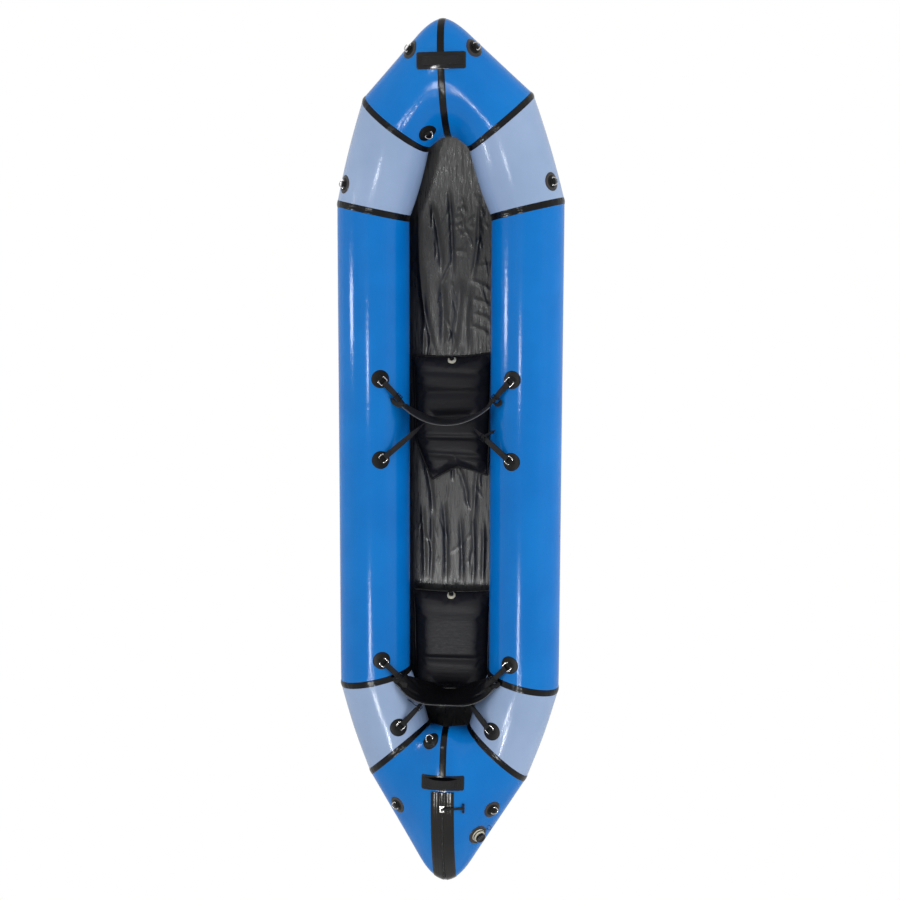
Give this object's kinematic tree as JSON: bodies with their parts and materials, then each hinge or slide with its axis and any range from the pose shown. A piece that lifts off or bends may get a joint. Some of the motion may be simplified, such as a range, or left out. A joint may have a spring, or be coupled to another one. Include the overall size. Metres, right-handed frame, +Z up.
{
  "type": "packraft",
  "caption": "Slim inflatable packraft with pointed raised ends, an open cockpit, two air cushions with strapped backbands, tie-down rings and a zip along the stern.",
  "frame": {"origin": "on the ground under the middle of the boat's length and width", "axes": "+Y to the bow, +X to the right-hand side seen from the stern, +Z up"},
  "size_m": [0.8826, 3.317, 0.4782],
  "materials": {
    "hull_blue": "blue coated fabric, satin to glossy",
    "shoulder_pale": "pale steel-blue coated fabric, satin to glossy",
    "tape_black": "black coated tape, satin",
    "patch_black": "black reinforced patch with webbing",
    "floor_black": "black heavy coated fabric, glossy",
    "webbing_black": "black woven webbing and padded cloth",
    "cushion_black": "charcoal coated fabric, satin",
    "plastic_black": "black moulded plastic",
    "valve_cream": "cream moulded plastic",
    "ring_steel": "stainless wire, lightly worn",
    "slider_metal": "dark coated metal"
  },
  "bodies": {
    "hull": {"side_tube_left": "hull_blue", "side_tube_right": "hull_blue", "bow_shoulder_left": "shoulder_pale", "bow_shoulder_right": "shoulder_pale", "stern_shoulder_left": "shoulder_pale", "stern_shoulder_right": "shoulder_pale", "bow_panel_left": "hull_blue", "bow_panel_right": "hull_blue", "stern_panel_left": "hull_blue", "stern_panel_right": "hull_blue", "bow_side_tape_left": "tape_black", "bow_side_tape_right": "tape_black", "stern_side_tape_left": "tape_black", "stern_side_tape_right": "tape_black", "bow_corner_tape_left": "tape_black", "bow_corner_tape_right": "tape_black", "stern_corner_tape_left": "tape_black", "stern_corner_tape_right": "tape_black", "bow_centre_tape": "tape_black", "stern_centre_tape": "tape_black", "floor": "floor_black", "anchor_bow_outer_left": "patch_black", "anchor_bow_outer_right": "patch_black", "anchor_bow_inner_left": "patch_black", "anchor_bow_shoulder_left": "patch_black", "anchor_bow_shoulder_right": "patch_black", "anchor_stern_outer_left": "patch_black", "anchor_stern_outer_right": "patch_black", "anchor_stern_inner_left": "patch_black", "anchor_seat_front_left": "patch_black", "anchor_seat_front_right": "patch_black", "anchor_seat_rear_left": "patch_black", "anchor_seat_rear_right": "patch_black", "anchor_rear_seat_front_left": "patch_black", "anchor_rear_seat_front_right": "patch_black", "anchor_rear_seat_rear_left": "patch_black", "anchor_rear_seat_rear_right": "patch_black", "seat_cushion": "cushion_black", "rear_seat_cushion": "cushion_black", "seat_backband": "webbing_black", "rear_seat_backband": "webbing_black", "seat_rear_strap": "webbing_black", "rear_seat_rear_strap": "webbing_black", "bow_handle": "tape_black", "stern_handle": "tape_black", "zip_band": "tape_black", "main_valve": "valve_cream"},
    "d_ring_bow_outer_left": {"d_ring_bow_outer_left": "ring_steel"},
    "d_ring_bow_outer_right": {"d_ring_bow_outer_right": "ring_steel"},
    "d_ring_bow_inner_left": {"d_ring_bow_inner_left": "ring_steel"},
    "d_ring_bow_shoulder_left": {"d_ring_bow_shoulder_left": "ring_steel"},
    "d_ring_bow_shoulder_right": {"d_ring_bow_shoulder_right": "ring_steel"},
    "d_ring_stern_outer_left": {"d_ring_stern_outer_left": "ring_steel"},
    "d_ring_stern_outer_right": {"d_ring_stern_outer_right": "ring_steel"},
    "d_ring_stern_inner_left": {"d_ring_stern_inner_left": "ring_steel"},
    "zip_slider": {"zip_slider": "slider_metal"},
    "zip_pull": {"zip_pull": "plastic_black"},
    "main_valve_cap": {"main_valve_cap": "plastic_black"},
    "seat_valve_cap": {"seat_valve_cap": "plastic_black"},
    "rear_seat_valve_cap": {"rear_seat_valve_cap": "plastic_black"}
  },
  "joints": [
    {"name": "d_ring_bow_outer_left_swing", "type": "hinge", "parent": "hull", "child": "d_ring_bow_outer_left", "pos_m": [-0.11984, 1.54763, 0.40411], "axis": [0.4972, 0.8676, 0], "range_deg": [0, 135]},
    {"name": "d_ring_bow_outer_right_swing", "type": "hinge", "parent": "hull", "child": "d_ring_bow_outer_right", "pos_m": [0.11984, 1.54763, 0.40411], "axis": [0.4972, -0.8676, 0], "range_deg": [0, 135]},
    {"name": "d_ring_bow_inner_left_swing", "type": "hinge", "parent": "hull", "child": "d_ring_bow_inner_left", "pos_m": [-0.06639, 1.26667, 0.28484], "axis": [-0.7806, -0.625, 0], "range_deg": [0, 135]},
    {"name": "d_ring_bow_shoulder_left_swing", "type": "hinge", "parent": "hull", "child": "d_ring_bow_shoulder_left", "pos_m": [-0.39612, 1.09291, 0.24501], "axis": [0.1202, 0.9927, 0], "range_deg": [0, 135]},
    {"name": "d_ring_bow_shoulder_right_swing", "type": "hinge", "parent": "hull", "child": "d_ring_bow_shoulder_right", "pos_m": [0.39612, 1.09291, 0.24501], "axis": [0.1202, -0.9927, 0], "range_deg": [0, 135]},
    {"name": "d_ring_stern_outer_left_swing", "type": "hinge", "parent": "hull", "child": "d_ring_stern_outer_left", "pos_m": [-0.19103, -1.33193, 0.28833], "axis": [-0.4255, 0.905, 0], "range_deg": [0, 135]},
    {"name": "d_ring_stern_outer_right_swing", "type": "hinge", "parent": "hull", "child": "d_ring_stern_outer_right", "pos_m": [0.19103, -1.33193, 0.28833], "axis": [-0.4255, -0.905, 0], "range_deg": [0, 135]},
    {"name": "d_ring_stern_inner_left_swing", "type": "hinge", "parent": "hull", "child": "d_ring_stern_inner_left", "pos_m": [-0.05604, -1.05422, 0.30111], "axis": [0.8227, 0.5685, 0], "range_deg": [0, 135]},
    {"name": "zip_slide", "type": "hinge", "parent": "hull", "child": "zip_slider", "pos_m": [0, -1.28917, -0.33593], "axis": [1, 0, 0], "range_deg": [0, 15]},
    {"name": "zip_pull_swing", "type": "hinge", "parent": "zip_slider", "child": "zip_pull", "pos_m": [0, -1.30246, 0.37583], "axis": [0, -0.9998, -0.0187], "range_deg": [0, 165]},
    {"name": "main_valve_turn", "type": "hinge", "parent": "hull", "child": "main_valve_cap", "pos_m": [0.133, -1.43311, 0.29204], "axis": [0.6319, -0.3051, 0.7124], "range_deg": [0, 180]},
    {"name": "seat_valve_pull", "type": "slide", "parent": "hull", "child": "seat_valve_cap", "axis": [0, 0.7071, 0.7071], "range_m": [0, 0.006]},
    {"name": "rear_seat_valve_pull", "type": "slide", "parent": "hull", "child": "rear_seat_valve_cap", "axis": [0, 0.7071, 0.7071], "range_m": [0, 0.006]}
  ]
}
